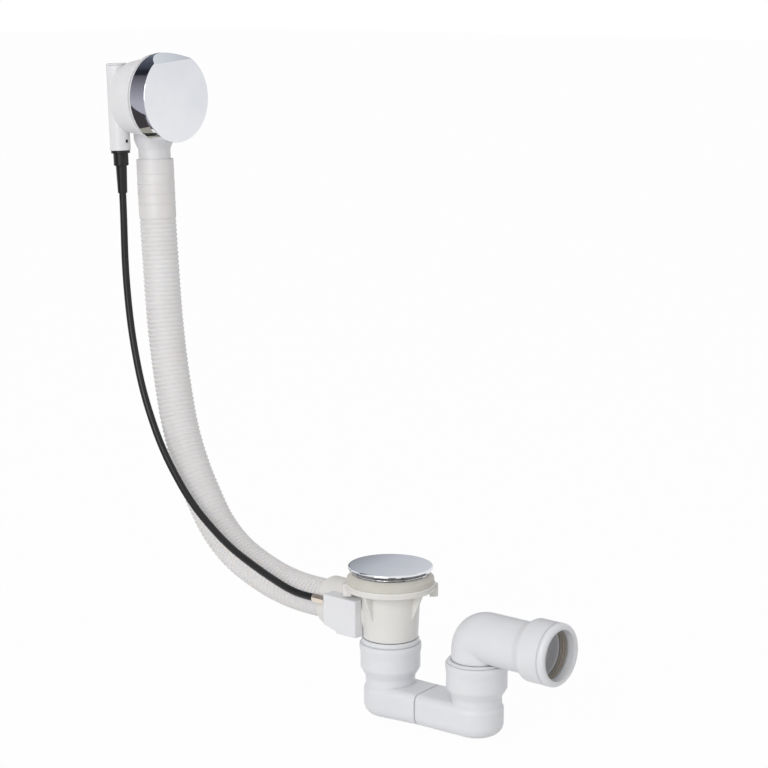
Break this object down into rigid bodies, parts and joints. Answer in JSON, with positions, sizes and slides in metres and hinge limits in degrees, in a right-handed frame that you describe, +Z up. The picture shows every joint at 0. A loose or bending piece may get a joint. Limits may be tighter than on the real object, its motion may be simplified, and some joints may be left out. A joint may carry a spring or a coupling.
{
  "type": "bath waste and overflow",
  "caption": "Rotary bath waste and overflow: a knob on the overflow pulls a cable and crank that lift the plug; corrugated hose, flanged waste body, swivel trap and outlet elbow.",
  "frame": {"origin": "on the axis of the waste, in the plane of the bath floor that the waste is clamped to", "axes": "+Z up along the waste axis, +X out of the bath wall and along the outlet, +Y across"},
  "size_m": [0.4762, 0.076, 0.5319],
  "materials": {
    "chromed_metal": "polished",
    "overflow_plastic": "satin",
    "body_plastic": "satin",
    "box_plastic": "satin",
    "trap_plastic": "satin",
    "hose_plastic": "satin",
    "inner_plastic": "satin",
    "black_plastic": "satin",
    "nickel": "polished",
    "steel": "brushed",
    "brass": "turned",
    "cream_rubber": "matte",
    "pale_rubber": "matte",
    "dark_rubber": "matte"
  },
  "bodies": {
    "frame": {"overflow_elbow": "overflow_plastic", "gear_cover": "overflow_plastic", "tube_cap": "overflow_plastic", "overflow_seal": "pale_rubber", "overflow_flange": "chromed_metal", "overflow_screws": "steel", "spindle_seal": "dark_rubber", "cable_fitting": "black_plastic", "cable_sheath": "black_plastic", "inner_wire": "steel", "cable_ferrule": "nickel", "overflow_hose": "hose_plastic", "hose_seal": "dark_rubber", "waste_body": "body_plastic", "lever_box": "box_plastic", "crank_seal": "dark_rubber", "waste_flange": "chromed_metal", "bath_seal": "cream_rubber"},
    "knob": {"knob_cap": "chromed_metal", "knob_insert": "inner_plastic", "spindle": "brass"},
    "rack": {"rack": "inner_plastic"},
    "slider": {"cable_slider": "inner_plastic"},
    "crank": {"crank_arm": "brass", "lift_finger": "brass"},
    "plug": {"plug_cap": "chromed_metal", "plug_seal": "dark_rubber", "plug_stem": "brass", "lift_screw": "steel", "stem_lock_nut": "steel"},
    "trap": {"trap_inlet": "trap_plastic", "trap_inlet_seal": "dark_rubber", "trap_inlet_collar": "trap_plastic", "trap_outlet": "trap_plastic", "riser_seal": "dark_rubber", "riser_collar": "trap_plastic"},
    "outlet": {"outlet_elbow": "trap_plastic", "outlet_seal": "dark_rubber", "outlet_collar": "trap_plastic"}
  },
  "joints": [
    {"name": "knob_turn", "type": "hinge", "parent": "frame", "child": "knob", "pos_m": [-0.237, 0, 0.375], "axis": [-0.9992, 0, -0.0401], "range_deg": [0, 70]},
    {"name": "rack_slide", "type": "slide", "parent": "frame", "child": "rack", "axis": [-0.0401, 0, 0.9992], "range_m": [0, 0.00733]},
    {"name": "slider_slide", "type": "slide", "parent": "frame", "child": "slider", "axis": [-1, 0, 0], "range_m": [0, 0.00733]},
    {"name": "crank_turn", "type": "hinge", "parent": "frame", "child": "crank", "pos_m": [-0.024, -0.01, -0.04425], "axis": [0, -1, 0], "range_deg": [0, 25.27]},
    {"name": "plug_lift", "type": "slide", "parent": "frame", "child": "plug", "axis": [0, 0, 1], "range_m": [0, 0.0105]},
    {"name": "trap_swivel", "type": "hinge", "parent": "frame", "child": "trap", "pos_m": [0, 0, -0.07], "axis": [0, 0, 1], "range_deg": [-90, 90]},
    {"name": "outlet_swivel", "type": "hinge", "parent": "trap", "child": "outlet", "pos_m": [0.08413, 0.00677, -0.07], "axis": [0, 0, 1], "range_deg": [-90, 90]}
  ],
  "couplings": [
    {"joint": "rack_slide", "follows": "knob_turn", "m_per_rad": 0.006},
    {"joint": "slider_slide", "follows": "knob_turn", "m_per_rad": 0.006},
    {"joint": "crank_turn", "follows": "knob_turn", "ratio": 0.36102},
    {"joint": "plug_lift", "follows": "knob_turn", "m_per_rad": 0.0085944}
  ]
}
